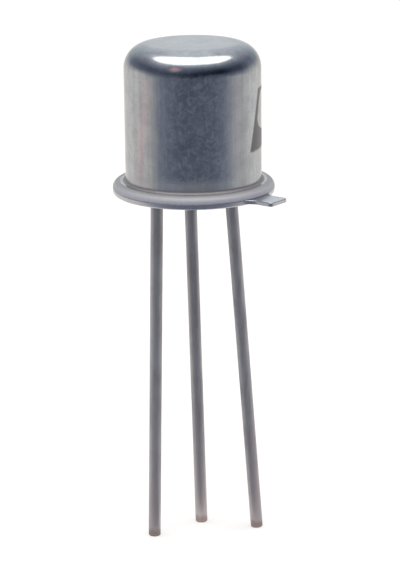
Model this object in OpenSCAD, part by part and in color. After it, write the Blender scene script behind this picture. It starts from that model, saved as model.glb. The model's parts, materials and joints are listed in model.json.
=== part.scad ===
// Metal can transistor: a drawn can welded to a glass-sealed header with an
// index tab, three wire leads, and the die with its bond wires inside.
// Millimetres. The origin is the centre of the seating plane, which is the
// underside of the header's flange. +Z runs up the can, +X passes through the
// emitter lead, +Y through the base lead and -X through the collector lead.

/* [Can] */
// Outside diameter of the can's barrel
can_d = 4.66; // [4.62:0.01:4.76]
// Height of the can's crown above the seating plane
can_h = 5.14; // [4.32:0.01:5.33]
// Wall thickness of the drawn can
can_wall = 0.24; // [0.2:0.01:0.25]
// Outside radius between the barrel and the crown
crown_r = 0.83; // [0.5:0.01:1.0]
// Radius of the hollow blend between the barrel and its weld flange
foot_r = 0.1; // [0.06:0.01:0.12]
// Distance that the can's weld flange stands out from the barrel
can_flange_w = 0.44; // [0.38:0.01:0.46]
// Thickness of the can's weld flange
can_flange_t = 0.24; // [0.24:0.01:0.26]
// Radius of the upper edge of the can's weld flange
can_edge_r = 0.23; // [0.1:0.01:0.23]

/* [Header] */
// Diameter of the header's flange
header_d = 5.54; // [5.54:0.01:5.84]
// Sheet thickness of the header
header_t = 0.2; // [0.18:0.01:0.22]
// Radius of the upper edge of the header's flange, at the weld seam
header_edge_r = 0.03; // [0.02:0.005:0.05]
// Radius of the lower edge of the header's flange
header_under_r = 0.1; // [0.05:0.01:0.12]
// Outside diameter of the header's raised cup
cup_d = 4.06; // [3.96:0.01:4.1]
// Height of the cup's platform above the seating plane
cup_h = 1.0; // [0.9:0.05:1.2]
// Radius of the cup's upper edge
cup_edge_r = 0.2; // [0.1:0.05:0.25]
// Radius of the drawn mouth of the cup, at the seating plane
mouth_r = 0.2; // [0.1:0.02:0.24]
// Diameter of each hole in the platform for an insulated lead
eye_d = 0.95; // [0.8:0.01:0.98]

/* [Index tab] */
// Thickness of the tab
tab_t = 0.14; // [0.12:0.01:0.14]
// Height of the tab's underside above the seating plane
tab_lift = 0.04; // [0:0.01:0.04]
// Width of the tab
tab_w = 0.93; // [0.92:0.01:1.16]
// Distance of the tab's end from the can's axis
tab_reach = 3.62; // [3.5:0.01:3.9]
// Angle from the emitter lead to the tab, seen from above
tab_angle = -44; // [-50:1:-40]
// Radius of the tab's outer corners
tab_corner_r = 0.12; // [0.05:0.01:0.2]
// Radius of the hollow blends between the tab and the flange
tab_root_r = 0.4; // [0.2:0.05:0.5]

/* [Leads] */
// Diameter of each lead
lead_d = 0.43; // [0.41:0.01:0.48]
// Diameter of the circle on which the leads leave the header
lead_circle_d = 2.54; // [2.5:0.01:2.58]
// Distance of the lead tips below the seating plane
lead_reach = 12.7; // [6:0.1:14]
// Depth below the seating plane at which each lead starts to splay
bend_depth = 0.05; // [0.02:0.01:1]
// Radius of the splay bend, at the lead's axis
bend_r = 0.5; // [0.3:0.1:3]
// Splay of the emitter lead from upright, in degrees
emitter_lean = 5.2; // [0:0.1:6]
// Direction in which the emitter lead splays
emitter_toward = 34; // [-180:1:180]
// Splay of the base lead from upright, in degrees
base_lean = 1.5; // [0:0.1:6]
// Direction in which the base lead splays
base_toward = 27; // [-180:1:180]
// Splay of the collector lead from upright, in degrees
collector_lean = 1.9; // [0:0.1:6]
// Direction in which the collector lead splays
collector_toward = 127; // [-180:1:180]
// Chamfer on the cut end of each lead
tip_chamfer = 0.03; // [0.01:0.01:0.06]
// Height of the bonding posts above the platform
post_h = 0.35; // [0.2:0.01:0.5]
// Diameter of the flattened head on top of each lead
head_d = 0.6; // [0.5:0.01:0.64]
// Thickness of the flattened head
head_t = 0.09; // [0.05:0.01:0.12]

/* [Glass] */
// Distance of the glass surface above the seating plane
glass_rise = 0.1; // [0.02:0.01:0.2]
// Height of the glass that creeps down each lead
creep_h = 0.08; // [0.02:0.01:0.1]
// Width of the creeping glass around each lead
creep_w = 0.1; // [0.04:0.01:0.15]

/* [Die and bond wires] */
// Side of the square die
die_w = 0.5; // [0.35:0.01:0.6]
// Thickness of the die
die_t = 0.18; // [0.1:0.01:0.25]
// Distance of the die from the can's axis, away from both insulated leads
die_offset = 0.18; // [0:0.01:0.3]
// Thickness of the gold preform under the die
preform_t = 0.03; // [0.02:0.005:0.05]
// Width of the preform that shows around the die
preform_lip = 0.05; // [0.02:0.01:0.1]
// Distance of each bond pad from the centre of the die
pad_offset = 0.12; // [0.05:0.01:0.15]
// Diameter of the bond wires
wire_d = 0.05; // [0.04:0.005:0.06]
// Height of the upright start of each wire above its ball
wire_rise = 0.3; // [0.2:0.01:0.4]
// Radius of the bend at the top of each wire
wire_bend_r = 0.12; // [0.08:0.01:0.2]
// Diameter of the ball bond on the die
ball_d = 0.11; // [0.08:0.01:0.12]
// Height of the ball bond and of the stitch bond
bond_h = 0.03; // [0.02:0.005:0.04]
// Length of the stitch bond on the post
stitch_l = 0.16; // [0.12:0.01:0.2]

/* [Hidden] */
$fn = 64;

can_r = can_d / 2;
can_flange_r = can_r + can_flange_w;
header_r = header_d / 2;
cup_r = cup_d / 2;
cavity_r = cup_r - header_t;
cavity_h = cup_h - header_t;
eye_r = eye_d / 2;
lead_r = lead_d / 2;
lead_ring_r = lead_circle_d / 2;
post_top = cup_h + post_h;
die_base = cup_h + preform_t;
die_top = die_base + die_t;
wire_r = wire_d / 2;

// Leads stand at three corners of a square; the fourth corner is empty.
emitter_at = [lead_ring_r, 0];
base_at = [0, lead_ring_r];
collector_at = [-lead_ring_r, 0];

// The die sits off centre, and its two pads face their own posts.
die_at = [-die_offset, -die_offset] / sqrt(2);
emitter_pad = die_at + [pad_offset, 0];
base_pad = die_at + [0, pad_offset];

// ---- Sections that are spun about the can's axis ----

// Block from the axis out to w, with its upper outer corner rounded.
module crowned(w, h, r) {
    square([w, h - r]);
    square([w - r, h]);
    translate([w - r, h - r]) intersection() {
        circle(r = r);
        square(r);
    }
}

// Disc section with one radius on its upper outer corner and one on its lower.
module rounded_rim(w, h, upper_r, lower_r) {
    square([w - lower_r, h]);
    translate([0, lower_r]) square([w - upper_r, h - lower_r]);
    translate([0, lower_r]) square([w, h - upper_r - lower_r]);
    translate([w - upper_r, h - upper_r]) circle(r = upper_r);
    translate([w - lower_r, lower_r]) intersection() {
        circle(r = lower_r);
        translate([0, -lower_r]) square(lower_r);
    }
}

// Hollow blend that fills the corner at the origin between +X and +Y.
module cove(r) {
    difference() {
        square(r);
        translate([r, r]) circle(r = r);
    }
}

module can_outline() {
    translate([0, header_t]) crowned(can_r, can_h - header_t, crown_r);
    translate([0, header_t]) crowned(can_flange_r, can_flange_t, can_edge_r);
    translate([can_r, header_t + can_flange_t]) cove(foot_r);
}

// Inside of the can, with the rounded mouth of a sheet bent out into a flange.
module can_cavity() {
    bore_r = can_r - can_wall;
    translate([0, header_t]) crowned(bore_r, can_h - header_t - can_wall, crown_r - can_wall);
    translate([bore_r, header_t]) cove(foot_r + can_flange_t);
}

// Inside of the header's cup, open at the seating plane.
module cup_cavity() {
    crowned(cavity_r, cavity_h, cup_edge_r / 2);
    translate([cavity_r, 0]) cove(mouth_r);
}

module header_section() {
    difference() {
        union() {
            rounded_rim(header_r, header_t, header_edge_r, header_under_r);
            crowned(cup_r, cup_h, cup_edge_r);
            translate([cup_r, header_t]) cove(cup_edge_r / 2);
        }
        cup_cavity();
    }
}

// ---- Index tab ----

// Blade along +X with rounded outer corners.
module tab_blade() {
    corner_x = tab_reach - tab_corner_r;
    corner_y = tab_w / 2 - tab_corner_r;
    start = cup_r + mouth_r;
    translate([start, -tab_w / 2]) square([corner_x - start, tab_w]);
    translate([start, -corner_y]) square([tab_reach - start, 2 * corner_y]);
    for (side = [-1, 1])
        translate([corner_x, side * corner_y]) circle(r = tab_corner_r);
}

// Hollow blend that runs from the flange's rim into one side of the blade.
module tab_root() {
    centre_y = tab_w / 2 + tab_root_r;
    centre_x = sqrt(pow(header_r + tab_root_r, 2) - pow(centre_y, 2));
    rim_share = header_r / (header_r + tab_root_r);
    difference() {
        polygon([
            [cup_r + mouth_r, tab_w / 4],
            [centre_x * rim_share, centre_y * rim_share],
            [centre_x, centre_y],
            [centre_x, tab_w / 4]
        ]);
        translate([centre_x, centre_y]) circle(r = tab_root_r);
    }
}

module index_tab() {
    translate([0, 0, tab_lift]) rotate([0, 0, tab_angle]) linear_extrude(height = tab_t) {
        tab_blade();
        tab_root();
        mirror([0, 1]) tab_root();
    }
}

// ---- Leads ----

// One lead with its flattened head at height top. It drops through the glass,
// then splays by lean degrees toward a direction and ends at lead_reach.
module splayed_lead(at, top, lean, toward) {
    end_drop = (lead_r - tip_chamfer) * sin(lean);
    run = (lead_reach - bend_depth - bend_r * sin(lean) - end_drop) / cos(lean);
    translate([at[0], at[1], 0]) {
        translate([0, 0, top - head_t]) cylinder(h = head_t, d = head_d);
        translate([0, 0, -bend_depth]) cylinder(h = top + bend_depth, r = lead_r);
        rotate([0, 0, toward]) translate([0, 0, -bend_depth]) {
            translate([bend_r, 0, 0]) rotate([90, 0, 0]) rotate([0, 0, 180])
                rotate_extrude(angle = lean) translate([bend_r, 0]) circle(r = lead_r);
            translate([bend_r * (1 - cos(lean)), 0, -bend_r * sin(lean)]) rotate([0, -lean, 0]) {
                translate([0, 0, tip_chamfer - run]) cylinder(h = run - tip_chamfer, r = lead_r);
                translate([0, 0, -run])
                    cylinder(h = tip_chamfer, r1 = lead_r - tip_chamfer, r2 = lead_r);
            }
        }
    }
}

// The upright stretch of a lead, as the hole that it takes in the glass.
module lead_passage(at, top) {
    translate([at[0], at[1], -bend_depth]) cylinder(h = top + bend_depth, r = lead_r);
}

// Glass drawn down a lead in a thin cone.
module glass_creep(at) {
    translate([at[0], at[1], glass_rise - creep_h])
        cylinder(h = creep_h, r1 = lead_r + creep_w / 5, r2 = lead_r + creep_w);
}

// ---- Bond wires ----

// Wire from a ball on its pad, up, over a bend and straight down to a stitch
// on the head of its post.
module bond_wire(pad, post) {
    span = norm(post - pad);
    drop = die_top - post_top;
    heading = atan2(post[1] - pad[1], post[0] - pad[0]);
    // The straight run leaves the bend along its tangent and comes to lie on the post.
    target = [span - wire_bend_r, wire_rise + drop - wire_r];
    reach = norm(target);
    slope = atan2(target[1], target[0]) + asin(wire_bend_r / reach);
    run = sqrt(pow(reach, 2) - pow(wire_bend_r, 2));
    translate([pad[0], pad[1], die_top]) rotate([0, 0, heading]) {
        cylinder(h = bond_h, d = ball_d);
        cylinder(h = wire_rise, r = wire_r);
        translate([wire_bend_r, 0, wire_rise]) rotate([90, 0, 0]) {
            rotate([0, 0, 90 - slope]) rotate_extrude(angle = 90 + slope)
                translate([wire_bend_r, 0]) circle(r = wire_r);
            rotate([0, 0, -slope]) translate([0, wire_bend_r, 0]) rotate([0, 90, 0])
                cylinder(h = run, r = wire_r);
        }
        translate([span, 0, -drop + bond_h / 2])
            cube([stitch_l, ball_d, bond_h], center = true);
    }
}

// ---- Pieces ----

module can() {
    color("#a9acad") rotate_extrude() difference() {
        can_outline();
        can_cavity();
    }
}

module header_eyelet() {
    color("#a2a5a8") difference() {
        union() {
            rotate_extrude() header_section();
            index_tab();
        }
        for (at = [emitter_at, base_at])
            translate([at[0], at[1], cavity_h / 2]) cylinder(h = cup_h, r = eye_r);
    }
}

module glass_seal() {
    color("#4a5856") difference() {
        union() {
            rotate_extrude() intersection() {
                cup_cavity();
                translate([0, glass_rise]) square([header_r, cup_h]);
            }
            for (at = [emitter_at, base_at])
                translate([at[0], at[1], glass_rise]) cylinder(h = cup_h - glass_rise, r = eye_r);
            for (at = [emitter_at, base_at, collector_at])
                glass_creep(at);
        }
        lead_passage(emitter_at, post_top);
        lead_passage(base_at, post_top);
        lead_passage(collector_at, cavity_h);
        translate([collector_at[0], collector_at[1], cavity_h - head_t]) cylinder(h = head_t, d = head_d);
    }
}

module emitter_lead() {
    color("#8e9194") splayed_lead(emitter_at, post_top, emitter_lean, emitter_toward);
}

module base_lead() {
    color("#8e9194") splayed_lead(base_at, post_top, base_lean, base_toward);
}

module collector_lead() {
    color("#8e9194") splayed_lead(collector_at, cavity_h, collector_lean, collector_toward);
}

module die_preform() {
    side = die_w + 2 * preform_lip;
    color("#cfae52") translate([die_at[0], die_at[1], cup_h + preform_t / 2])
        cube([side, side, preform_t], center = true);
}

module die() {
    color("#565b66") translate([die_at[0], die_at[1], die_base + die_t / 2])
        cube([die_w, die_w, die_t], center = true);
}

module emitter_wire() {
    color("#d9b75c") bond_wire(emitter_pad, emitter_at);
}

module base_wire() {
    color("#d9b75c") bond_wire(base_pad, base_at);
}

can();
header_eyelet();
glass_seal();
emitter_lead();
base_lead();
collector_lead();
die_preform();
die();
emitter_wire();
base_wire();
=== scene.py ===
import json
import math

import bmesh
import bpy
from mathutils import Euler, Matrix, Vector


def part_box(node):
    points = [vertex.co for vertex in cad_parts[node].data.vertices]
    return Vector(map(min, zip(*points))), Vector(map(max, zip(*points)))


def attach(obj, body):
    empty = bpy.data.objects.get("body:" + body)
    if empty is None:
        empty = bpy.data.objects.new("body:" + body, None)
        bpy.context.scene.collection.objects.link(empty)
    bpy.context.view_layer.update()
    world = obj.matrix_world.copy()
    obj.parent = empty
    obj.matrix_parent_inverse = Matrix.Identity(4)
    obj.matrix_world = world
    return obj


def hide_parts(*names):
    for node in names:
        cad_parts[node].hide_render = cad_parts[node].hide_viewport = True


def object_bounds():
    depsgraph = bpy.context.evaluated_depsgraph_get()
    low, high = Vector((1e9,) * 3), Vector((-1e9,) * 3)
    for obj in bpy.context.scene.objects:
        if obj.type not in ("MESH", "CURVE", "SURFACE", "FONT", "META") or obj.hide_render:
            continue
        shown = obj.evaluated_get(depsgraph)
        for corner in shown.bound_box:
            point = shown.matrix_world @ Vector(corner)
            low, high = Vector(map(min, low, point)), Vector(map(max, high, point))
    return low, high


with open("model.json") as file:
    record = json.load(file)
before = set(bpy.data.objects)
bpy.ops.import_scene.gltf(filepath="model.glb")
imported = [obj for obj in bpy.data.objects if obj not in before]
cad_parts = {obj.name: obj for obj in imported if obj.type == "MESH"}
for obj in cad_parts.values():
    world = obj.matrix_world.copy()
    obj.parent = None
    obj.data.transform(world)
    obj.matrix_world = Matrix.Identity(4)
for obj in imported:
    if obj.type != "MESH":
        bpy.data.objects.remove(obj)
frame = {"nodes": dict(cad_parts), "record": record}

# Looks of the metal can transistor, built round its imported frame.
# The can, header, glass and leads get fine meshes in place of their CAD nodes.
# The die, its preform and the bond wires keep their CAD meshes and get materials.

MM = 0.001
MICRON = 0.000001


# ---- Sizes, in metres, from the frame and from the forms of the pieces ----

MOUNTS = {mount["name"]: mount for mount in frame["record"]["mounts"]}
CAD_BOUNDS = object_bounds()
CAN_LOW, CAN_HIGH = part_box("can")
HEADER_LOW, HEADER_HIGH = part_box("header_eyelet")
GLASS_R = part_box("glass_seal")[1].x

FLOOR_Z = CAD_BOUNDS[0].z

CAN_R = MOUNTS["can_barrel"]["dims"]["r_mm"] * MM
CAN_TOP = CAN_HIGH.z
CAN_FOOT = CAN_LOW.z
CAN_FLANGE_R = CAN_HIGH.x
CAN_WALL = 0.24 * MM
CAN_FLANGE_T = 0.24 * MM
CROWN_R = 0.83 * MM
FOOT_R = 0.1 * MM
CAN_EDGE_R = 0.23 * MM

HEADER_R = -HEADER_LOW.x
HEADER_T = CAN_FOOT
HEADER_EDGE_R = 0.03 * MM
HEADER_UNDER_R = 0.1 * MM
CUP_R = 2.03 * MM
CUP_TOP = HEADER_HIGH.z
CUP_EDGE_R = 0.2 * MM
CUP_WALL = 0.2 * MM
CAVITY_R = CUP_R - CUP_WALL
CAVITY_TOP = CUP_TOP - CUP_WALL
MOUTH_R = 0.2 * MM
EYE_R = 0.475 * MM
TAB_UNDER = 0.04 * MM
TAB_TOP = 0.18 * MM
TAB_EDGE_R = 0.03 * MM
TAB_BLEND = 0.1 * MM
TAB_W = 0.93 * MM
TAB_REACH = 3.62 * MM
TAB_CORNER_R = 0.12 * MM
TAB_ROOT_R = 0.4 * MM
TAB_ANGLE = -44.0

LEAD_R = MOUNTS["emitter_pin"]["dims"]["r_mm"] * MM
LEAD_RING_R = 1.27 * MM
LEAD_BEND_DEPTH = 0.05 * MM
LEAD_BEND_R = 0.5 * MM
LEAD_HEAD_R = 0.3 * MM
LEAD_HEAD_T = 0.09 * MM
LEAD_TIP_CHAMFER = 0.03 * MM
LEAD_PLACES = {
    "emitter": (LEAD_RING_R, 0.0),
    "base": (0.0, LEAD_RING_R),
    "collector": (-LEAD_RING_R, 0.0),
}
# The leads that pass through a hole in the header, with glass round them.
INSULATED_LEADS = ("emitter", "base")

# The glass's lower face, how far it creeps down a lead or the cup's wall, and how far out from it.
GLASS_FACE = 0.1 * MM
LEAD_CREEP = 0.08 * MM
WALL_CREEP = 0.045 * MM
CREEP_REACH = 0.16 * MM

ROUND_STEPS = 256
LEAD_STEPS = 48
SHARP_ANGLE = 35.0


# ---- Mesh helpers ----

def arc(centre, radius, start, end, steps):
    """Points on an arc in a section, from the start angle to the end angle in degrees."""
    angles = [math.radians(start + (end - start) * i / steps) for i in range(steps + 1)]
    return [(centre[0] + radius * math.cos(a), centre[1] + radius * math.sin(a)) for a in angles]


def straight(start, end, steps):
    """Points along a straight stretch of a section, without its first point."""
    shares = [i / steps for i in range(1, steps + 1)]
    return [tuple(a + (b - a) * share for a, b in zip(start, end)) for share in shares]


def ring(mesh, points):
    """New vertices at the points."""
    return [mesh.verts.new(point) for point in points]


def bridge(mesh, lower, upper):
    """Quads between two rings of the same length."""
    count = len(lower)
    for i in range(count):
        j = (i + 1) % count
        mesh.faces.new((lower[i], lower[j], upper[j], upper[i]))


def fan(mesh, loop, tip):
    """Triangles from a loop to one vertex."""
    count = len(loop)
    for i in range(count):
        mesh.faces.new((loop[i], loop[(i + 1) % count], tip))


def fill(mesh, loops):
    """Flat triangles between an outer loop and the holes in it."""
    edges = []
    for loop in loops:
        for i, vert in enumerate(loop):
            after = loop[(i + 1) % len(loop)]
            edges.append(mesh.edges.get((vert, after)) or mesh.edges.new((vert, after)))
    bmesh.ops.triangle_fill(mesh, edges=edges, use_beauty=True)


def circle_points(radius, z, steps, centre=(0.0, 0.0)):
    """Points on a level circle."""
    turns = [2 * math.pi * i / steps for i in range(steps)]
    return [(centre[0] + radius * math.cos(t), centre[1] + radius * math.sin(t), z) for t in turns]


def add_object(mesh, name, material):
    """Turns a bmesh into an object of the scene."""
    data = bpy.data.meshes.new(name)
    mesh.to_mesh(data)
    mesh.free()
    data.materials.append(material)
    made = bpy.data.objects.new(name, data)
    bpy.context.scene.collection.objects.link(made)
    return made


def add_piece(mesh, name, material, node):
    """Turns a bmesh into a smooth piece that rides on the root and stands for its CAD node."""
    bmesh.ops.recalc_face_normals(mesh, faces=mesh.faces)
    piece = add_object(mesh, name, material)
    piece.data.shade_smooth()
    piece.data.set_sharp_from_angle(angle=math.radians(SHARP_ANGLE))
    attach(piece, "root")
    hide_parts(node)


def lathe(section):
    """Solid of revolution about Z, from a section of radii and heights that ends on the axis."""
    mesh = bmesh.new()
    first = mesh.verts.new((0, 0, section[0][1]))
    last = mesh.verts.new((0, 0, section[-1][1]))
    rings = [ring(mesh, circle_points(r, z, ROUND_STEPS)) for r, z in section[1:-1]]
    fan(mesh, rings[0], first)
    for lower, upper in zip(rings, rings[1:]):
        bridge(mesh, lower, upper)
    fan(mesh, rings[-1], last)
    return mesh


# ---- Can ----

def can_section():
    """Outer face from the crown down to the weld flange, then the inner face back up."""
    flange_top = CAN_FOOT + CAN_FLANGE_T
    bore_r = CAN_R - CAN_WALL
    mouth_r = FOOT_R + CAN_FLANGE_T
    inner_top = CAN_TOP - CAN_WALL
    inner_crown_r = CROWN_R - CAN_WALL
    outer = [(0.0, CAN_TOP)]
    outer += straight((0.0, CAN_TOP), (CAN_R - CROWN_R, CAN_TOP), 6)
    outer += arc((CAN_R - CROWN_R, CAN_TOP - CROWN_R), CROWN_R, 90, 0, 32)[1:]
    outer += straight((CAN_R, CAN_TOP - CROWN_R), (CAN_R, flange_top + FOOT_R), 12)
    outer += arc((CAN_R + FOOT_R, flange_top + FOOT_R), FOOT_R, 180, 270, 12)[1:]
    outer += straight((CAN_R + FOOT_R, flange_top), (CAN_FLANGE_R - CAN_EDGE_R, flange_top), 3)
    outer += arc((CAN_FLANGE_R - CAN_EDGE_R, flange_top - CAN_EDGE_R), CAN_EDGE_R, 90, 0, 12)[1:]
    outer += [(CAN_FLANGE_R, CAN_FOOT)]
    inner = [(bore_r + mouth_r, CAN_FOOT)]
    inner += arc((bore_r + mouth_r, CAN_FOOT + mouth_r), mouth_r, 270, 180, 8)[1:]
    inner += [(bore_r, inner_top - inner_crown_r)]
    inner += arc((bore_r - inner_crown_r, inner_top - inner_crown_r), inner_crown_r, 0, 90, 16)[1:]
    inner += [(0.0, inner_top)]
    return outer + inner


def build_can(material):
    """The drawn can with its weld flange, hollow inside."""
    add_piece(lathe(can_section()), "can_body", material, "can")


# ---- Header with its index tab ----

def half_outline():
    """Upper half of the flange and tab outline, with the tab along +X, from the tab's end to -X."""
    half_w = TAB_W / 2
    root_y = half_w + TAB_ROOT_R
    root_x = math.sqrt((HEADER_R + TAB_ROOT_R) ** 2 - root_y ** 2)
    root_turn = math.degrees(math.atan2(root_y, root_x))
    corner = (TAB_REACH - TAB_CORNER_R, half_w - TAB_CORNER_R)
    points = [(TAB_REACH, 0.0)]
    points += straight((TAB_REACH, 0.0), (TAB_REACH, corner[1]), 4)
    points += arc(corner, TAB_CORNER_R, 0, 90, 10)[1:]
    points += straight((corner[0], half_w), (root_x, half_w), 5)
    points += arc((root_x, root_y), TAB_ROOT_R, 270, 180 + root_turn, 14)[1:]
    points += arc((0.0, 0.0), HEADER_R, root_turn, 180, 110)[1:]
    return points


def header_outline():
    """Whole outline, counter-clockwise, turned to the tab's place."""
    half = half_outline()
    mirrored = [(x, -y) for x, y in reversed(half[1:-1])]
    turn = Matrix.Rotation(math.radians(TAB_ANGLE), 2)
    return [turn @ Vector(point) for point in half + mirrored]


def inset_ring(mesh, outline, shares, rim, tab):
    """Ring inside the outline. The rim and the tab each give a distance inwards and a height."""
    count = len(outline)
    points = []
    for i, (point, share) in enumerate(zip(outline, shares)):
        along = (outline[(i + 1) % count] - outline[i - 1]).normalized()
        distance, z = (a + (b - a) * share for a, b in zip(rim, tab))
        moved = point + Vector((-along.y, along.x)) * distance
        points.append((moved.x, moved.y, z))
    return ring(mesh, points)


def radial_ring(mesh, outline, radius, z):
    """Circle whose points lie at the same bearings as the outline's."""
    return ring(mesh, [(*(point.normalized() * radius), z) for point in outline])


def eye_rings(mesh, z):
    """The edges of the two holes for the insulated leads."""
    places = [LEAD_PLACES[name] for name in INSULATED_LEADS]
    return [ring(mesh, circle_points(EYE_R, z, LEAD_STEPS, place)) for place in places]


def build_header(material):
    """One pressing: a cup that opens downward, its flange with the index tab, and two holes.

    Its rings run from the cup's ceiling down and out under the flange, round the edge and back
    over the flange up to the cup's platform.
    """
    mesh = bmesh.new()
    outline = header_outline()
    inner_edge_r = CUP_EDGE_R / 2

    inside = arc((CAVITY_R - inner_edge_r, CAVITY_TOP - inner_edge_r), inner_edge_r, 90, 0, 6)
    inside += arc((CAVITY_R + MOUTH_R, MOUTH_R), MOUTH_R, 180, 270, 10)
    rings = [radial_ring(mesh, outline, r, z) for r, z in inside]

    # How far each point of the outline belongs to the tab: 0 on the flange's rim, 1 past the roots.
    shares = [min(max(0.0, point.length - HEADER_R) / TAB_BLEND, 1.0) for point in outline]
    # Turns on the rim's lower and upper edges at which the tab's two faces meet them.
    lower_turn = math.degrees(math.acos(1 - TAB_UNDER / HEADER_UNDER_R))
    upper_turn = math.degrees(math.asin((TAB_TOP - HEADER_T + HEADER_EDGE_R) / HEADER_EDGE_R))
    lower_centre = (HEADER_R - HEADER_UNDER_R, HEADER_UNDER_R)
    lower_edge = arc(lower_centre, HEADER_UNDER_R, 270, 270 + lower_turn, 6)
    rings += [radial_ring(mesh, outline, r, z) for r, z in lower_edge]

    rim = arc((HEADER_UNDER_R, HEADER_UNDER_R), HEADER_UNDER_R, 270 - lower_turn, 180, 8)[1:]
    rim += straight((0.0, HEADER_UNDER_R), (0.0, HEADER_T - HEADER_EDGE_R), 8)
    tab = [(2 * TAB_EDGE_R, TAB_UNDER)]
    tab += arc((TAB_EDGE_R, TAB_UNDER + TAB_EDGE_R), TAB_EDGE_R, 270, 180, 6)
    tab += arc((TAB_EDGE_R, TAB_TOP - TAB_EDGE_R), TAB_EDGE_R, 180, 90, 6)
    tab += [(2 * TAB_EDGE_R, TAB_TOP)]
    for on_rim, on_tab in zip(rim, tab):
        rings.append(inset_ring(mesh, outline, shares, on_rim, on_tab))

    upper_centre = (HEADER_R - HEADER_EDGE_R, HEADER_T - HEADER_EDGE_R)
    upper_edge = arc(upper_centre, HEADER_EDGE_R, upper_turn, 90, 5)
    rings += [radial_ring(mesh, outline, r, z) for r, z in upper_edge]

    outside = arc((CUP_R + inner_edge_r, HEADER_T + inner_edge_r), inner_edge_r, 270, 180, 6)
    outside += arc((CUP_R - CUP_EDGE_R, CUP_TOP - CUP_EDGE_R), CUP_EDGE_R, 0, 90, 10)
    rings += [radial_ring(mesh, outline, r, z) for r, z in outside]

    for lower, upper in zip(rings, rings[1:]):
        bridge(mesh, lower, upper)
    ceiling_eyes = eye_rings(mesh, CAVITY_TOP)
    platform_eyes = eye_rings(mesh, CUP_TOP)
    for lower, upper in zip(ceiling_eyes, platform_eyes):
        bridge(mesh, lower, upper)
    fill(mesh, [rings[0], *ceiling_eyes])
    fill(mesh, [rings[-1], *platform_eyes])
    add_piece(mesh, "header_flange", material, "header_eyelet")


# ---- Glass seal ----

def meniscus(start_r, reach, rise, steps):
    """Radius and height of the glass from a wall outwards, curved as glass that wetted the wall."""
    shares = [i / steps for i in range(steps + 1)]
    return [(start_r + reach * share, rise * (1 - share) ** 2) for share in shares]


def build_glass(material):
    """Glass that fills the cup and wets its wall and the three leads."""
    mesh = bmesh.new()
    face_holes = []
    top_holes = []
    for place in LEAD_PLACES.values():
        rings = []
        for radius, creep in meniscus(LEAD_R, CREEP_REACH, LEAD_CREEP, 8):
            rings.append(ring(mesh, circle_points(radius, GLASS_FACE - creep, LEAD_STEPS, place)))
        for inner, outer in zip(rings, rings[1:]):
            bridge(mesh, inner, outer)
        bore = ring(mesh, circle_points(LEAD_R, CAVITY_TOP, LEAD_STEPS, place))
        bridge(mesh, rings[0], bore)
        face_holes.append(rings[-1])
        top_holes.append(bore)

    rim = []
    for reach, creep in meniscus(0.0, CREEP_REACH, WALL_CREEP, 6):
        rim.append(ring(mesh, circle_points(GLASS_R - reach, GLASS_FACE - creep, ROUND_STEPS)))
    for inner, outer in zip(rim, rim[1:]):
        bridge(mesh, inner, outer)
    top_rim = ring(mesh, circle_points(CAVITY_R, CAVITY_TOP, ROUND_STEPS))
    bridge(mesh, rim[0], top_rim)
    fill(mesh, [rim[-1], *face_holes])
    fill(mesh, [top_rim, *top_holes])
    add_piece(mesh, "glass_fill", material, "glass_seal")


# ---- Leads ----

def lead_path(place, top, axis, end):
    """Centre line of a lead: straight through the glass, a bend, and a straight run to the tip."""
    start = Vector((*place, -LEAD_BEND_DEPTH))
    sideways = Vector((axis.x, axis.y, 0.0)).normalized()
    lean = math.acos(-axis.z)
    bend_steps = 8
    run_steps = 48
    points = [Vector((*place, top)), start]
    for i in range(1, bend_steps + 1):
        turn = lean * i / bend_steps
        out = LEAD_BEND_R * (1 - math.cos(turn))
        points.append(start + sideways * out - Vector((0, 0, LEAD_BEND_R * math.sin(turn))))
    run_start = points[-1]
    points += [run_start.lerp(end, i / run_steps) for i in range(1, run_steps + 1)]
    return points


def lead_ring(mesh, centre, along, radius):
    """Ring of a lead, square to the way that it runs."""
    side = along.cross(Vector((0, 1, 0))).normalized()
    front = side.cross(along).normalized()
    turns = [2 * math.pi * i / LEAD_STEPS for i in range(LEAD_STEPS)]
    spokes = [side * math.cos(turn) + front * math.sin(turn) for turn in turns]
    return ring(mesh, [centre + spoke * radius for spoke in spokes])


def build_lead(name, material):
    """A drawn wire with a flattened head inside the can and a sheared, faintly rounded tip."""
    place = LEAD_PLACES[name]
    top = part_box(name + "_lead")[1].z
    mount = MOUNTS[name + "_pin"]
    axis = Vector(mount["axis"])
    half_length = mount["dims"]["length_mm"] * MM / 2
    end = Vector(mount["pos_m"]) + axis * (half_length + LEAD_TIP_CHAMFER)
    path = lead_path(place, top, axis, end)
    mesh = bmesh.new()

    neck = top - LEAD_HEAD_T
    collar = [(LEAD_HEAD_R, top), (LEAD_HEAD_R, neck), (LEAD_R, neck)]
    rings = [ring(mesh, circle_points(r, z, LEAD_STEPS, place)) for r, z in collar]
    for before, point, after in zip(path, path[1:], path[2:]):
        rings.append(lead_ring(mesh, point, (after - before).normalized(), LEAD_R))
    along = (path[-1] - path[-2]).normalized()
    chamfer = arc((LEAD_R - LEAD_TIP_CHAMFER, -LEAD_TIP_CHAMFER), LEAD_TIP_CHAMFER, 0, 90, 6)
    for radius, past_end in chamfer:
        rings.append(lead_ring(mesh, path[-1] + along * past_end, along, radius))

    fan(mesh, rings[0], mesh.verts.new(path[0]))
    for upper, lower in zip(rings, rings[1:]):
        bridge(mesh, upper, lower)
    fan(mesh, rings[-1], mesh.verts.new(path[-1]))
    add_piece(mesh, name + "_wire_lead", material, name + "_lead")


# ---- Material helpers ----

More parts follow.
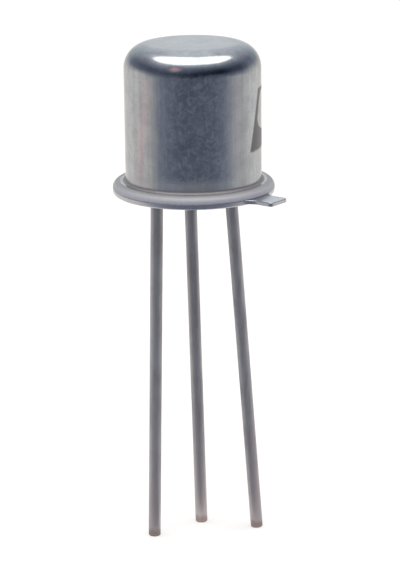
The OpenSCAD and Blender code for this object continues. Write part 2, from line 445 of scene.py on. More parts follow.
class Nodes:
    """Short calls that add and link nodes in one tree."""

    def __init__(self, tree):
        self.tree = tree

    def node(self, kind, inputs=None, **settings):
        """A new node with its inputs, which are values or links, and its settings."""
        made = self.tree.nodes.new(kind)
        for setting, value in settings.items():
            setattr(made, setting, value)
        for socket, value in (inputs or {}).items():
            self.feed(made.inputs[socket], value)
        return made

    def feed(self, socket, value):
        """Links an output to a socket, or sets the socket's value."""
        if isinstance(value, bpy.types.NodeSocket):
            self.tree.links.new(value, socket)
        else:
            socket.default_value = value

    def math(self, operation, first, second=0.0, third=0.0, clamp=False):
        """Output of a Math node."""
        made = self.node("ShaderNodeMath", operation=operation, use_clamp=clamp)
        for socket, value in zip(made.inputs, (first, second, third)):
            self.feed(socket, value)
        return made.outputs["Value"]

    def remap(self, value, low, high, to_low=0.0, to_high=1.0):
        """The value eased from one span to another and held at its ends."""
        inputs = {
            "Value": value, "From Min": low, "From Max": high,
            "To Min": to_low, "To Max": to_high,
        }
        made = self.node("ShaderNodeMapRange", inputs, interpolation_type="SMOOTHSTEP")
        return made.outputs["Result"]

    def blend(self, share, first, second):
        """Mix of two colours."""
        # A Mix node's colour sockets have the numbers 6 and 7, and its colour output the number 2.
        made = self.node("ShaderNodeMix", {0: share, 6: first, 7: second}, data_type="RGBA")
        return made.outputs[2]

    def mix_value(self, share, first, second):
        """Mix of two numbers."""
        # A Mix node's number sockets have the numbers 2 and 3, and its number output the number 0.
        made = self.node("ShaderNodeMix", {0: share, 2: first, 3: second}, data_type="FLOAT")
        return made.outputs[0]

    def ramp(self, share, stops):
        """A colour ramp from a list of (position, colour)."""
        made = self.node("ShaderNodeValToRGB", {"Fac": share})
        elements = made.color_ramp.elements
        while len(elements) < len(stops):
            elements.new(0.5)
        for element, (position, colour) in zip(elements, stops):
            element.position = position
            element.color = (*colour, 1.0)
        return made.outputs["Color"]


class Surface(Nodes):
    """A material with one Principled shader, whose sockets may be given values at once."""

    def __init__(self, name, sockets):
        self.material = bpy.data.materials.new(name)
        self.material.use_nodes = True
        super().__init__(self.material.node_tree)
        self.shader = self.tree.nodes["Principled BSDF"]
        for socket, value in sockets.items():
            self.set(socket, value)

    def set(self, socket, value):
        """Feeds one of the shader's sockets."""
        self.feed(self.shader.inputs[socket], value)

    def place(self, stretch=(1.0, 1.0, 1.0)):
        """The surface point in millimetres, with each axis multiplied by its stretch."""
        point = self.node("ShaderNodeTexCoord").outputs["Object"]
        scale = tuple(s / MM for s in stretch)
        mapping = self.node("ShaderNodeMapping", {"Vector": point, "Scale": scale})
        return mapping.outputs["Vector"]

    def axes(self):
        """The surface point's X, Y and Z in millimetres."""
        return self.node("ShaderNodeSeparateXYZ", {"Vector": self.place()}).outputs

    def radius(self):
        """Distance from the Z axis in millimetres."""
        axes = self.axes()
        squares = [self.math("MULTIPLY", axes[axis], axes[axis]) for axis in "XY"]
        return self.math("SQRT", self.math("ADD", *squares))

    def noise(self, scale, detail=4.0, rough=0.55, stretch=(1.0, 1.0, 1.0), distortion=0.0):
        """Noise from about 0 to 1, with its scale in waves per millimetre."""
        inputs = {
            "Vector": self.place(stretch), "Scale": scale, "Detail": detail,
            "Roughness": rough, "Distortion": distortion,
        }
        return self.node("ShaderNodeTexNoise", inputs).outputs["Fac"]

    def bump(self, height, depth, below=None):
        """Bump whose full height is depth, in metres, on top of another bump if there is one."""
        inputs = {"Height": height, "Distance": depth, "Strength": 1.0}
        if below is not None:
            inputs["Normal"] = below
        return self.node("ShaderNodeBump", inputs).outputs["Normal"]


def grey(level):
    """An opaque grey."""
    return (level, level, level, 1.0)


# ---- Plated metal ----

GRAZING_TINT = (0.7, 0.7, 0.7, 1.0)
# Noise patterns of the plate, in waves per millimetre, with the span of values that each one uses.
MOTTLE = {"scale": 1.7, "detail": 6.0, "rough": 0.62}
MOTTLE_SPAN = (0.35, 0.7)
SPECKLE = {"scale": 6.5, "rough": 0.6, "distortion": 1.0}
SPECKLE_SPAN = (0.44, 0.62)
DRAW_LINES = {"scale": 7.0, "detail": 3.0, "rough": 0.6, "stretch": (1.0, 1.0, 0.035)}
DRAW_LINES_SPAN = (0.4, 0.62)
DRAW_LINES_SHARE = 0.3
SCUFFS = {"scale": 5.0, "detail": 5.0, "rough": 0.7, "stretch": (1.0, 1.0, 4.0), "distortion": 0.4}
GRAIN = {"scale": 22.0, "detail": 3.0}
WAVES = {"scale": 0.9, "detail": 2.0}
MOTTLE_ROUGHENS = 0.02
SCUFFS_ROUGHEN = 0.03
WAVES_DEPTH = 2.5 * MICRON
SPECKLE_DEPTH = 0.12 * MICRON
GRAIN_DEPTH = 0.25 * MICRON


def satin_plate(surface, bright, dull, satin, speckled):
    """Colour, roughness, bump and speckle of satin plated sheet.

    The colour runs from bright to dull with the mottle, of which speckled is the share that is
    fine speckle instead. Satin is the roughness of the clean metal.
    """
    mottle = surface.remap(surface.noise(**MOTTLE), *MOTTLE_SPAN)
    speckle = surface.remap(surface.noise(**SPECKLE), *SPECKLE_SPAN)
    drawn = surface.remap(surface.noise(**DRAW_LINES), *DRAW_LINES_SPAN)
    clouded = surface.mix_value(speckled, mottle, speckle)
    colour = surface.blend(surface.mix_value(DRAW_LINES_SHARE, clouded, drawn), bright, dull)
    mottled = surface.math("MULTIPLY", mottle, MOTTLE_ROUGHENS)
    scuffed = surface.math("MULTIPLY", surface.noise(**SCUFFS), SCUFFS_ROUGHEN)
    roughness = surface.math("ADD", satin, surface.math("ADD", mottled, scuffed))
    waves = surface.bump(surface.noise(**WAVES), WAVES_DEPTH)
    specks = surface.bump(speckle, SPECKLE_DEPTH, waves)
    normal = surface.bump(surface.noise(**GRAIN), GRAIN_DEPTH, specks)
    return colour, roughness, normal, speckle


# ---- The can's print ----

# A plain slanted field round a bare window with rounded corners.
# Bearings are in degrees about the can's axis from +X; heights and softness are in millimetres.
MARK_BEARING = 14.0
MARK_HALF_SPAN = 47.8
MARK_LOW = 1.63
MARK_HIGH = 3.72
MARK_SLANT = 6.9
MARK_SOFTNESS = 0.05
MARK_RAGGED = 0.06
MARK_RAGGED_SCALE = 14.0
WINDOW_Z = 3.02
WINDOW_HALF_HEIGHT = 0.85
WINDOW_HALF_SPAN = 42.2
WINDOW_TOP = 3.6
# The window's outline is a superellipse of these powers, soft by this share of its size.
WINDOW_POWERS = (2.0, 4.0)
WINDOW_SOFTNESS = 0.04


def soft_below(surface, value, limit, softness):
    """1 where the value is below its limit and 0 where it is above, with a soft edge."""
    return surface.remap(value, limit + softness, limit - softness)


def mark_mask(surface):
    """1 on the can's printed field, 0 on bare metal, with slightly broken ink edges."""
    axes = surface.axes()
    bearing = math.radians(MARK_BEARING)
    ahead = surface.math("ADD", surface.math("MULTIPLY", axes["X"], math.cos(bearing)),
                         surface.math("MULTIPLY", axes["Y"], math.sin(bearing)))
    across = surface.math("SUBTRACT", surface.math("MULTIPLY", axes["Y"], math.cos(bearing)),
                          surface.math("MULTIPLY", axes["X"], math.sin(bearing)))
    angle = surface.math("DEGREES", surface.math("ARCTAN2", across, ahead))
    ragged = surface.math("SUBTRACT", surface.noise(MARK_RAGGED_SCALE), 0.5)
    height = surface.math("ADD", axes["Z"], surface.math("MULTIPLY", ragged, MARK_RAGGED))
    over_middle = surface.math("SUBTRACT", height, (MARK_LOW + MARK_HIGH) / 2)
    slant = surface.math("MULTIPLY", over_middle, MARK_SLANT)
    turn = surface.math("ABSOLUTE", surface.math("SUBTRACT", angle, slant))

    softness_in_degrees = math.degrees(MARK_SOFTNESS * MM / CAN_R)
    between_sides = soft_below(surface, turn, MARK_HALF_SPAN, softness_in_degrees)
    from_middle = surface.math("ABSOLUTE", over_middle)
    between_ends = soft_below(surface, from_middle, (MARK_HIGH - MARK_LOW) / 2, MARK_SOFTNESS)
    field = surface.math("MULTIPLY", between_sides, between_ends)

    aside = surface.math("DIVIDE", turn, WINDOW_HALF_SPAN)
    rise = surface.math("DIVIDE", surface.math("SUBTRACT", height, WINDOW_Z), WINDOW_HALF_HEIGHT)
    powers = [surface.math("POWER", surface.math("ABSOLUTE", share), power)
              for share, power in zip((aside, rise), WINDOW_POWERS)]
    window = soft_below(surface, surface.math("ADD", *powers), 1.0, WINDOW_SOFTNESS)
    under_top = soft_below(surface, height, WINDOW_TOP, MARK_SOFTNESS)
    window = surface.math("MULTIPLY", window, under_top)
    return surface.math("MULTIPLY", field, surface.math("SUBTRACT", 1.0, window))


# ---- Materials of the pieces ----

CAN_COLOUR = (0.5, 0.54, 0.57, 1.0)
CAN_COLOUR_DULL = (0.37, 0.405, 0.435, 1.0)
CAN_ROUGHNESS = 0.1
INK_COLOUR = (0.145, 0.142, 0.155, 1.0)
INK_ROUGHNESS = 0.42
# Share of fine speckle in the mottle, how matte its specks are on the barrel, and the heights in
# millimetres between which the barrel's look turns into the crown's.
BARREL_SPECKLE = 0.15
CROWN_SPECKLE = 0.2
SPECKLE_MATTE = 0.17
CROWN_LOW = 4.2
CROWN_HIGH = 4.6
# Heights and radii in millimetres where the can's metal changes: the foot of the barrel is faintly
# rubbed, the groove at its root is painted darker as painted shade, and the rounded edge of the weld
# flange is matte, with its top painted darker as painted shade and its sides painted lighter.
FOOT_METALLIC = 0.66
FOOT_LOW = 0.72
FOOT_HIGH = 1.02
# The groove's colour is painted shade: a dark line where the barrel meets the flange.
GROOVE_PAINTED_SHADE_COLOUR = (0.33, 0.32, 0.34, 1.0)
GROOVE_ROUGHNESS = 0.5
GROOVE_LOW = 0.5
GROOVE_HIGH = 0.58
GROOVE_INSIDE = 2.4
GROOVE_OUTSIDE = 2.45
# The flange's side colour is partly its matte metal and partly painted light, lighter and bluer; its
# top colour is painted shade.
FLANGE_SIDE_PAINTED_LIGHT_COLOUR = (0.58, 0.59, 0.655, 1.0)
FLANGE_TOP_PAINTED_SHADE_COLOUR = (0.42, 0.41, 0.41, 1.0)
FLANGE_METALLIC = 0.45
FLANGE_ROUGHNESS = 0.62
FLANGE_PLATE_SHARE = 0.2
FLANGE_TOP_LOW = 0.34
FLANGE_TOP_HIGH = 0.43
FLANGE_INSIDE = 2.48
FLANGE_OUTSIDE = 2.55


def can_material():
    """Satin nickel with painted shade in its groove, a matte flange with painted shade on its top
    and painted light on its sides, and a generic grey print.
    """
    surface = Surface("satin_nickel_can", {"Specular Tint": GRAZING_TINT})
    height = surface.axes()["Z"]
    radius = surface.radius()
    # The groove at the barrel's root takes a darker colour, which is painted shade.
    above_groove = surface.remap(height, GROOVE_LOW, GROOVE_HIGH)
    painted_shade_groove = surface.math("MULTIPLY", surface.remap(radius, GROOVE_OUTSIDE, GROOVE_INSIDE),
                             surface.math("SUBTRACT", 1.0, above_groove))
    on_flange = surface.remap(radius, FLANGE_INSIDE, FLANGE_OUTSIDE)
    ink = mark_mask(surface)

    satin = surface.mix_value(painted_shade_groove, CAN_ROUGHNESS, GROOVE_ROUGHNESS)
    satin = surface.mix_value(on_flange, satin, FLANGE_ROUGHNESS)
    speckled = surface.remap(height, CROWN_LOW, CROWN_HIGH, BARREL_SPECKLE, CROWN_SPECKLE)
    tones = (CAN_COLOUR, CAN_COLOUR_DULL)
    plate, roughness, normal, speckle = satin_plate(surface, *tones, satin, speckled)

    # By height, the flange's top takes painted shade and its sides painted light.
    painted_shade_on_top = surface.remap(height, FLANGE_TOP_LOW, FLANGE_TOP_HIGH)
    flange = surface.blend(painted_shade_on_top, FLANGE_SIDE_PAINTED_LIGHT_COLOUR, FLANGE_TOP_PAINTED_SHADE_COLOUR)
    flange = surface.blend(FLANGE_PLATE_SHARE, flange, plate)
    colour = surface.blend(on_flange, surface.blend(painted_shade_groove, plate, GROOVE_PAINTED_SHADE_COLOUR), flange)

    matte = surface.remap(height, CROWN_LOW, CROWN_HIGH, -SPECKLE_MATTE, 0.0)
    specked = surface.math("MULTIPLY_ADD", speckle, matte, 1.0)
    above_foot = surface.remap(height, FOOT_LOW, FOOT_HIGH)
    metallic = surface.mix_value(above_foot, FOOT_METALLIC, specked)
    metallic = surface.mix_value(on_flange, metallic, FLANGE_METALLIC)

    surface.set("Base Color", surface.blend(ink, colour, INK_COLOUR))
    surface.set("Metallic", surface.mix_value(ink, metallic, 0.0))
    surface.set("Roughness", surface.mix_value(ink, roughness, INK_ROUGHNESS))
    surface.set("Normal", normal)
    return surface.material


HEADER_COLOUR = (0.60, 0.62, 0.67, 1.0)
HEADER_COLOUR_DULL = (0.52, 0.54, 0.59, 1.0)
HEADER_METALLIC = 0.88
HEADER_ROUGHNESS = 0.16
HEADER_SPECKLE = 0.4


def header_material():
    """Satin nickel, paler and a little rougher than the can's."""
    sockets = {"Metallic": HEADER_METALLIC, "Specular Tint": GRAZING_TINT}
    surface = Surface("satin_nickel_header", sockets)
    tones = (HEADER_COLOUR, HEADER_COLOUR_DULL)
    colour, roughness, normal, _ = satin_plate(surface, *tones, HEADER_ROUGHNESS, HEADER_SPECKLE)
    surface.set("Base Color", colour)
    surface.set("Roughness", roughness)
    surface.set("Normal", normal)
    return surface.material


LEAD_METALLIC = 0.54
LEAD_COLOUR = (0.455, 0.465, 0.49, 1.0)
LEAD_COLOUR_DULL = (0.36, 0.35, 0.37, 1.0)
LEAD_GRAZING_TINT = (0.78, 0.83, 0.92, 1.0)
LEAD_STREAKS = {"scale": 9.0, "stretch": (1.0, 1.0, 0.08)}
LEAD_PATCHES = {"scale": 1.6, "detail": 5.0, "rough": 0.6, "stretch": (1.0, 1.0, 0.5)}
LEAD_TONE_SPAN = (0.8, 1.25)
LEAD_ROUGHNESS = (0.32, 0.42)
LEAD_STREAKS_DEPTH = 1.5 * MICRON
LEAD_PATCHES_DEPTH = 5.0 * MICRON
# Heights over the tip, in millimetres: the metal turns warmer from the reach down, and the bare
# end gives way to the plate between low and high, on a line that the patches break up.
LEAD_WARM_COLOUR = (0.5, 0.465, 0.485, 1.0)
LEAD_WARM_REACH = 5.5
LEAD_TIP_COLOUR = (0.34, 0.28, 0.27, 1.0)
LEAD_TIP_LOW = 0.02
LEAD_TIP_HIGH = 0.22
LEAD_TIP_RAGGED = 0.3


def lead_material():
    """Dull tinned wire with draw lines along it and a bare, warmer cut end."""
    sockets = {"Metallic": LEAD_METALLIC, "Specular Tint": LEAD_GRAZING_TINT}
    surface = Surface("dull_tinned_wire", sockets)
    streaks = surface.noise(**LEAD_STREAKS)
    patches = surface.noise(**LEAD_PATCHES)
    tarnish = surface.remap(surface.math("ADD", streaks, patches), *LEAD_TONE_SPAN)
    colour = surface.blend(tarnish, LEAD_COLOUR, LEAD_COLOUR_DULL)
    from_tip = surface.math("SUBTRACT", surface.axes()["Z"], FLOOR_Z / MM)
    warmed = surface.remap(from_tip, LEAD_WARM_REACH, 0.0)
    colour = surface.blend(warmed, colour, LEAD_WARM_COLOUR)
    ragged = surface.math("MULTIPLY_ADD", patches, -LEAD_TIP_RAGGED, from_tip)
    bare = surface.remap(ragged, LEAD_TIP_HIGH, LEAD_TIP_LOW)
    surface.set("Base Color", surface.blend(bare, colour, LEAD_TIP_COLOUR))
    surface.set("Roughness", surface.remap(tarnish, 0.0, 1.0, *LEAD_ROUGHNESS))
    lines = surface.bump(streaks, LEAD_STREAKS_DEPTH)
    surface.set("Normal", surface.bump(patches, LEAD_PATCHES_DEPTH, lines))
    return surface.material


GLASS_COLOUR = (0.035, 0.05, 0.048, 1.0)
GLASS_COLOUR_PALE = (0.075, 0.095, 0.09, 1.0)
GLASS_ROUGHNESS = 0.08
GLASS_IOR = 1.52
GLASS_CLOUDS = {"scale": 1.4, "detail": 5.0}
GLASS_CLOUDS_SPAN = (0.35, 0.7)
# Bubbles are spots round the points of a cell pattern, in cells per millimetre.
BUBBLE_SCALE = 9.0
BUBBLE_INSIDE = 0.06
BUBBLE_OUTSIDE = 0.16
GLASS_WAVES_SCALE = 3.0
GLASS_WAVES_DEPTH = 3.0 * MICRON


def glass_material():
    """Dark fused sealing glass with paler clouds and small bubbles under a glossy skin."""
    surface = Surface("fused_seal_glass", {"Roughness": GLASS_ROUGHNESS, "IOR": GLASS_IOR})
    clouds = surface.remap(surface.noise(**GLASS_CLOUDS), *GLASS_CLOUDS_SPAN)
    cells = {"Vector": surface.place(), "Scale": BUBBLE_SCALE}
    distance = surface.node("ShaderNodeTexVoronoi", cells).outputs["Distance"]
    bubbles = surface.remap(distance, BUBBLE_OUTSIDE, BUBBLE_INSIDE)
    tinted = surface.blend(clouds, GLASS_COLOUR, GLASS_COLOUR_PALE)
    surface.set("Base Color", surface.blend(bubbles, tinted, GLASS_COLOUR_PALE))
    surface.set("Normal", surface.bump(surface.noise(GLASS_WAVES_SCALE), GLASS_WAVES_DEPTH))
    return surface.material


GOLD_COLOURS = ((0.85, 0.62, 0.25, 1.0), (0.78, 0.55, 0.22, 1.0))
GOLD_ROUGHNESS = (0.2, 0.3)
GOLD_GRAIN_SCALE = 30.0
SILICON_COLOURS = ((0.10, 0.105, 0.13, 1.0), (0.15, 0.155, 0.18, 1.0))
SILICON_ROUGHNESS = (0.1, 0.2)
SILICON_GRAIN_SCALE = 12.0
SILICON_METALLIC = 0.6
INNER_GRAIN_SPAN = (0.3, 0.7)


def inner_material(name, metallic, grain_scale, colours, roughness):
    """Plain metal or silicon of the small pieces inside the can, with a fine grain."""
    surface = Surface(name, {"Metallic": metallic})
    grain = surface.noise(grain_scale)
    surface.set("Base Color", surface.blend(grain, *colours))
    surface.set("Roughness", surface.remap(grain, *INNER_GRAIN_SPAN, *roughness))
    return surface.material


def paint_cad_node(node, material):
    """Gives a CAD node its procedural material."""
    piece = frame["nodes"][node]
    piece.data.materials.clear()
    piece.data.materials.append(material)


# ---- Studio ----

# Angles in degrees and the lens in millimetres, as fitted to the object's outlines in the photo.
CAMERA_AZIMUTH = -6.0
CAMERA_ELEVATION = 13.513
CAMERA_DISTANCE = 75.0 * MM
CAMERA_PAN = 0.139
CAMERA_TILT = -15.97
CAMERA_ROLL = -0.625
CAMERA_LENS = 138.1
CAMERA_NEAREST = 1.0 * MM
CAMERA_FARTHEST = 10.0


def build_camera():
    """The camera stands at the photo's viewing angle and aims below the can, so it has no shift."""
    azimuth = math.radians(CAMERA_AZIMUTH)
    elevation = math.radians(CAMERA_ELEVATION)
    back = Vector((math.sin(azimuth) * math.cos(elevation),
                   -math.cos(azimuth) * math.cos(elevation), math.sin(elevation)))
    data = bpy.data.cameras.new("camera")
    data.lens = CAMERA_LENS
    data.clip_start = CAMERA_NEAREST
    data.clip_end = CAMERA_FARTHEST
    camera = bpy.data.objects.new("camera", data)
    bpy.context.scene.collection.objects.link(camera)
    tilt = math.radians(90 + CAMERA_TILT)
    pan = math.radians(CAMERA_AZIMUTH - CAMERA_PAN)
    upright = Euler((tilt, 0.0, pan))
    roll = Matrix.Rotation(math.radians(CAMERA_ROLL), 3, "Z")
    camera.rotation_mode = "QUATERNION"
    camera.rotation_quaternion = (upright.to_matrix() @ roll).to_quaternion()
    camera.location = back * CAMERA_DISTANCE
    bpy.context.scene.camera = camera


def add_stage(mesh, name, material):
    """Turns a bmesh into an object of the scene, for the studio."""
    made = add_object(mesh, name, material)
    return made


def background_share(nodes):
    """1 for the rays that see the background: from the camera, and in metal and glass."""
    rays = nodes.node("ShaderNodeLightPath").outputs
    seen = nodes.math("MAXIMUM", rays["Is Camera Ray"], rays["Is Glossy Ray"])
    return nodes.math("MAXIMUM", seen, rays["Is Transmission Ray"])


FLOOR_HALF = 1.5
FLOOR_DIFFUSE = 0.5
# The floor's own glow near the object, and beyond the softbox's pool of light.
FLOOR_GLOW_NEAR = 0.6
FLOOR_GLOW_FAR = 0.74
FLOOR_NEAR = 0.12
FLOOR_FAR = 0.6
WORLD_FILL = 0.55


def floor_material():
    """Pale grey with a glow where the background is seen, so it reads white but for shadows."""
    material = bpy.data.materials.new("pale_floor")
    material.use_nodes = True
    nodes = Nodes(material.node_tree)
    nodes.tree.nodes.clear()
    point = {"Vector": nodes.node("ShaderNodeTexCoord").outputs["Object"]}
    distance = nodes.node("ShaderNodeVectorMath", point, operation="LENGTH").outputs["Value"]
    level = nodes.remap(distance, FLOOR_NEAR, FLOOR_FAR, FLOOR_GLOW_NEAR, FLOOR_GLOW_FAR)
    strength = nodes.math("MULTIPLY", background_share(nodes), level)
    glow = nodes.node("ShaderNodeEmission", {"Strength": strength}).outputs["Emission"]
    diffuse = nodes.node("ShaderNodeBsdfDiffuse", {"Color": grey(FLOOR_DIFFUSE)}).outputs["BSDF"]
    both = nodes.node("ShaderNodeAddShader", {0: diffuse, 1: glow}).outputs["Shader"]
    nodes.node("ShaderNodeOutputMaterial", {"Surface": both})
    return material


def build_floor():
    """Level floor under the lead tips."""
    mesh = bmesh.new()
    corners = [(-1, -1), (1, -1), (1, 1), (-1, 1)]
    mesh.faces.new(ring(mesh, [(x * FLOOR_HALF, y * FLOOR_HALF, FLOOR_Z) for x, y in corners]))
    add_stage(mesh, "floor", floor_material())


def build_world():
    """White where the camera, metal and glass see it, and a soft even fill for the rest."""
    world = bpy.data.worlds.new("studio")
    bpy.context.scene.world = world
    world.use_nodes = True
    nodes = Nodes(world.node_tree)
    levels = {"Value": background_share(nodes), "To Min": WORLD_FILL, "To Max": 1.0}
    strength = nodes.node("ShaderNodeMapRange", levels).outputs["Result"]
    background = nodes.tree.nodes["Background"]
    nodes.feed(background.inputs["Color"], grey(1.0))
    nodes.feed(background.inputs["Strength"], strength)


# Offsets of red, green and blue from a tone's level: dark tones take the slate tint and bright ones
# a tint of their own, with a change from the one to the other between two levels.
SLATE_TINT = (-6, 0, 15)
WARM_TINT = (0, 0, 0)
COOL_TINT = (-5, 0, 8)
BACK_TINT = (-9, 1, 9)
TONE_DARK = 105
TONE_BRIGHT = 160


def to_linear(value):
    """Light of an 8-bit level."""
    return math.pow((value / 255 + 0.055) / 1.055, 2.4)


def tone(level, bright_tint):
    """The light a card gives off so that the can's metal shows it as this 8-bit level."""
    bright = min(max((level - TONE_DARK) / (TONE_BRIGHT - TONE_DARK), 0.0), 1.0)
    tints = [a + (b - a) * bright for a, b in zip(SLATE_TINT, bright_tint)]
    return tuple(to_linear(level + tint) / metal for tint, metal in zip(tints, CAN_COLOUR))


class Card(Nodes):
    """A self-lit material of the studio, whose tones can follow bearing and height."""

    def __init__(self, name):
        self.material = bpy.data.materials.new(name)
        self.material.use_nodes = True
        super().__init__(self.material.node_tree)
        self.tree.nodes.clear()
        self.glow = self.node("ShaderNodeEmission")
        self.node("ShaderNodeOutputMaterial", {"Surface": self.glow.outputs["Emission"]})
        point = self.node("ShaderNodeTexCoord").outputs["Object"]
        turn = {"Vector": point, "Angle": math.radians(-CAMERA_AZIMUTH)}
        turned = self.node("ShaderNodeVectorRotate", turn, rotation_type="Z_AXIS").outputs["Vector"]
        self.parts = self.node("ShaderNodeSeparateXYZ", {"Vector": turned}).outputs

    def shine(self, colour, strength=1.0):
        """Sets the light that the card gives off."""
        self.feed(self.glow.inputs["Color"], colour)
        self.feed(self.glow.inputs["Strength"], strength)

    def bearing(self):
        """Degrees from straight in front of the object, positive to its right."""
        toward = self.math("MULTIPLY", self.parts["Y"], -1.0)
        return self.math("DEGREES", self.math("ARCTAN2", self.parts["X"], toward))

    def around(self, stops, bright_tint):
        """Tones by bearing, from straight behind the object over its left and front, and back."""
        placed = [(bearing / 360 + 0.5, tone(level, bright_tint)) for bearing, level in stops]
        return self.ramp(self.math("MULTIPLY_ADD", self.bearing(), 1 / 360, 0.5), placed)


def only_in_reflections(card):
    """A card outside the picture: it shapes reflections and neither shows nor shades anything."""
    card.visible_camera = False
    card.visible_diffuse = False
    card.visible_shadow = False
    card.visible_transmission = False


# Levels round the object, as the can shows them, by degrees from straight in front.
TABLE_TONES = [
    (-180, 207), (-150, 206), (-132, 194), (-118, 182), (-104, 178), (-90, 168), (-75, 158),
    (-66, 136), (-57, 114), (-48, 104), (-36, 93), (-20, 83), (0, 80), (34, 85), (44, 94),
    (52, 104), (60, 120), (68, 138), (78, 152), (90, 158), (100, 170), (118, 188), (132, 198),
    (180, 207),
]
LOW_TONES = [
    (-180, 206), (-150, 200), (-130, 184), (-110, 183), (-90, 166), (-70, 118),
    (-50, 88), (-30, 76), (-10, 50), (10, 46), (30, 80), (50, 84),
    (70, 96), (90, 120), (108, 163), (130, 176), (150, 196), (180, 206),
]
EYE_LEVEL_TONES = [
    (-180, 203), (-165, 182), (-150, 158), (-130, 108), (-90, 90), (-70, 76),
    (-50, 66), (-30, 56), (-10, 42), (10, 22), (30, 30), (50, 12),
    (70, 52), (90, 64), (110, 106), (130, 118), (150, 146), (165, 182), (180, 203),
]
HIGH_TONES = [
    (-180, 200), (-165, 184), (-150, 162), (-130, 106), (-110, 84), (-70, 74),
    (-50, 87), (-30, 79), (-10, 74), (10, 58), (30, 46), (50, 32),
    (70, 56), (90, 60), (110, 97), (130, 104), (150, 154), (165, 184), (180, 200),
]
CANOPY_TONES = [
    (-180, 200), (-150, 156), (-130, 138), (-110, 114), (-90, 122), (-50, 122),
    (-10, 102), (30, 92), (70, 96), (90, 100), (110, 120), (130, 134), (150, 166), (180, 200),
]
RAFTER_TONES = [
    (-180, 196), (-150, 172), (-130, 186), (-110, 184), (-70, 188), (-30, 170), (10, 160),
    (50, 160), (90, 166), (110, 174), (135, 166), (150, 168), (180, 196),
]

TABLE_CARD_R = 0.098
TABLE_CARD_LIFT = 0.02 * MM
TABLE_CARD_STEPS = 120
ROOM_CARD_DEGREES = 2
# The room card's heights, each with its tones and the tint of its bright ones.
ROOM_LEVELS = [
    (FLOOR_Z, TABLE_TONES, WARM_TINT), (-1.0 * MM, LOW_TONES, WARM_TINT),
    (23.0 * MM, EYE_LEVEL_TONES, BACK_TINT), (46.0 * MM, HIGH_TONES, BACK_TINT),
    (80.0 * MM, CANOPY_TONES, COOL_TINT), (130.0 * MM, RAFTER_TONES, COOL_TINT),
]
# Height of the room card's top in metres, by degrees from straight in front.
ROOM_TOPS = [
    (-180, 0.1), (-165, 0.12), (-150, 0.2), (-135, 0.15), (-110, 0.115), (-70, 0.125), (0, 0.142),
    (60, 0.136), (110, 0.118), (135, 0.15), (150, 0.2), (165, 0.12), (180, 0.1),
]


def stop_value(stops, bearing):
    """Value at a bearing, on straight lines between (bearing, value) stops."""
    for (before, low), (after, high) in zip(stops, stops[1:]):
        if bearing <= after:
            return low + (high - low) * (bearing - before) / (after - before)
    return stops[-1][1]


def place_at(bearing, distance, z):
    """Point at a bearing in degrees from straight in front of the camera, positive to its right."""
    turn = math.radians(bearing - 90 + CAMERA_AZIMUTH)
    return (distance * math.cos(turn), distance * math.sin(turn), z)


def build_table_card():
    """Graded grey card that lies on the table round the object."""
    mesh = bmesh.new()
    height = FLOOR_Z + TABLE_CARD_LIFT
    rim = ring(mesh, circle_points(TABLE_CARD_R, height, TABLE_CARD_STEPS))
    fan(mesh, rim, mesh.verts.new((0, 0, height)))
    card = Card("table_card_grey")
    card.shine(card.around(TABLE_TONES, WARM_TINT))
    only_in_reflections(add_stage(mesh, "table_card", card.material))


def build_room_card():
    """Room round the table: dark in front, where the camera stands, and bright behind the object."""
    mesh = bmesh.new()
    bearings = range(-180, 180, ROOM_CARD_DEGREES)
    foot = ring(mesh, [place_at(b, TABLE_CARD_R, FLOOR_Z) for b in bearings])
    top = ring(mesh, [place_at(b, TABLE_CARD_R, stop_value(ROOM_TOPS, b)) for b in bearings])
    bridge(mesh, foot, top)
    card = Card("room_card_graded")
    below, stops, tint = ROOM_LEVELS[0]
    colour = card.around(stops, tint)
    for above, stops, tint in ROOM_LEVELS[1:]:
        climbed = card.math("SUBTRACT", card.parts["Z"], below)
        share = card.math("DIVIDE", climbed, above - below, clamp=True)
        colour = card.blend(share, colour, card.around(stops, tint))
        below = above
    card.shine(colour)
    only_in_reflections(add_stage(mesh, "room_card", card.material))


# Two faint warm reflections. The strip lies on the table and is given by the bearing, distance and
# half width of points along it. The patch stands just inside the room card.
WARM_STRIP = [(-77.0, 0.095, 0.014), (-93.0, 0.074, 0.012), (-109.0, 0.056, 0.009)]
WARM_STRIP_LEVEL = 167
WARM_STRIP_TINT = (12, -2, 0)
WARM_PATCH_BEARING = -32.0
WARM_PATCH_Z = 72.0 * MM
WARM_PATCH_HALF_SPAN = 15.0
WARM_PATCH_HALF_HEIGHT = 36.0 * MM
WARM_PATCH_GLOW = (0.72, 0.47, 0.48, 1.0)
WARM_PATCH_RIM_LEVEL = 98
WARM_PATCH_RIM_R = 0.97 * TABLE_CARD_R
WARM_PATCH_CENTRE_R = 0.96 * TABLE_CARD_R
# Squared distances from the centre, as shares of the rim's, between which the warmth comes in.
WARM_PATCH_FALLOFF = (0.85, 0.1)


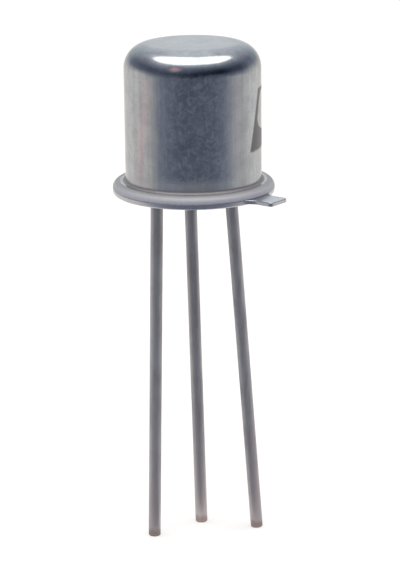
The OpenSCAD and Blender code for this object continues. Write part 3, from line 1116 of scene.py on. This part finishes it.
def build_warm_patch():
    """Small warm card in front of the dark room, which leaves a soft pinkish spot on the crown."""
    mesh = bmesh.new()
    rim = []
    steps = 32
    for i in range(steps):
        turn = 2 * math.pi * i / steps
        bearing = WARM_PATCH_BEARING + WARM_PATCH_HALF_SPAN * math.cos(turn)
        height = WARM_PATCH_Z + WARM_PATCH_HALF_HEIGHT * math.sin(turn)
        rim.append(place_at(bearing, WARM_PATCH_RIM_R, height))
    centre = place_at(WARM_PATCH_BEARING, WARM_PATCH_CENTRE_R, WARM_PATCH_Z)
    fan(mesh, ring(mesh, rim), mesh.verts.new(centre))
    card = Card("warm_patch_card")
    aside = card.math("SUBTRACT", card.bearing(), WARM_PATCH_BEARING)
    rise = card.math("SUBTRACT", card.parts["Z"], WARM_PATCH_Z)
    shares = [card.math("DIVIDE", aside, WARM_PATCH_HALF_SPAN),
              card.math("DIVIDE", rise, WARM_PATCH_HALF_HEIGHT)]
    squares = [card.math("MULTIPLY", share, share) for share in shares]
    warmth = card.remap(card.math("ADD", *squares), *WARM_PATCH_FALLOFF)
    around_it = (*tone(WARM_PATCH_RIM_LEVEL, COOL_TINT), 1.0)
    card.shine(card.blend(warmth, around_it, WARM_PATCH_GLOW))
    only_in_reflections(add_stage(mesh, "warm_patch", card.material))


def build_warm_strip():
    """Faint warm strip on the table card, which leaves a slanted pinkish band on the barrel."""
    mesh = bmesh.new()
    near = []
    far = []
    for bearing, distance, half_width in WARM_STRIP:
        middle = Vector(place_at(bearing, distance, FLOOR_Z + 2 * TABLE_CARD_LIFT))
        aside = Vector((-middle.y, middle.x, 0.0)).normalized() * half_width
        near.append(mesh.verts.new(middle - aside))
        far.append(mesh.verts.new(middle + aside))
    for i in range(len(near) - 1):
        mesh.faces.new((near[i], near[i + 1], far[i + 1], far[i]))
    card = Card("warm_strip_card")
    card.shine((*tone(WARM_STRIP_LEVEL, WARM_STRIP_TINT), 1.0))
    only_in_reflections(add_stage(mesh, "warm_strip", card.material))


# The softbox hangs above the object. Its reach by bearing is a share of its height.
SOFTBOX_HEIGHT = 0.3
SOFTBOX_DEGREES = 4
SOFTBOX_REACH = [
    (-180, 0.15), (-160, 0.17), (-145, 0.2), (-137, 0.29), (-131, 0.4), (-127, 0.6), (-123, 1.02),
    (-117, 0.93), (-108, 0.84), (-92, 0.82), (-72, 0.79), (-50, 0.74), (-25, 0.68), (0, 0.63),
    (30, 0.645), (55, 0.71), (75, 0.76), (92, 0.79), (106, 0.81), (116, 0.88), (122, 0.98),
    (125, 0.68), (129, 0.43), (135, 0.28), (146, 0.17), (160, 0.15), (180, 0.15),
]
SOFTBOX_RADIANCE = 2.5
SOFTBOX_COLOUR = (1.0, 0.955, 0.925, 1.0)


def build_softbox():
    """Overhead softbox, round in front and nearly straight behind, for the crown's bright band."""
    mesh = bmesh.new()
    corners = []
    for bearing in range(-180, 180, SOFTBOX_DEGREES):
        reach = stop_value(SOFTBOX_REACH, bearing) * SOFTBOX_HEIGHT
        corners.append(place_at(bearing, reach, SOFTBOX_HEIGHT))
    fan(mesh, ring(mesh, corners), mesh.verts.new((0.0, 0.0, SOFTBOX_HEIGHT)))
    card = Card("softbox_light")
    card.shine(SOFTBOX_COLOUR, SOFTBOX_RADIANCE)
    add_stage(mesh, "softbox", card.material).visible_camera = False


# ---- Build ----

bpy.context.scene.view_settings.view_transform = "Standard"

build_camera()
build_world()
build_floor()
build_table_card()
build_room_card()
build_warm_strip()
build_warm_patch()
build_softbox()

build_can(can_material())
build_header(header_material())
build_glass(glass_material())
tinned_wire = lead_material()
for lead in LEAD_PLACES:
    build_lead(lead, tinned_wire)

gold = inner_material("plain_gold", 1.0, GOLD_GRAIN_SCALE, GOLD_COLOURS, GOLD_ROUGHNESS)
for gold_node in ("die_preform", "emitter_wire", "base_wire"):
    paint_cad_node(gold_node, gold)
silicon = inner_material("polished_silicon", SILICON_METALLIC, SILICON_GRAIN_SCALE,
                         SILICON_COLOURS, SILICON_ROUGHNESS)
paint_cad_node("die", silicon)
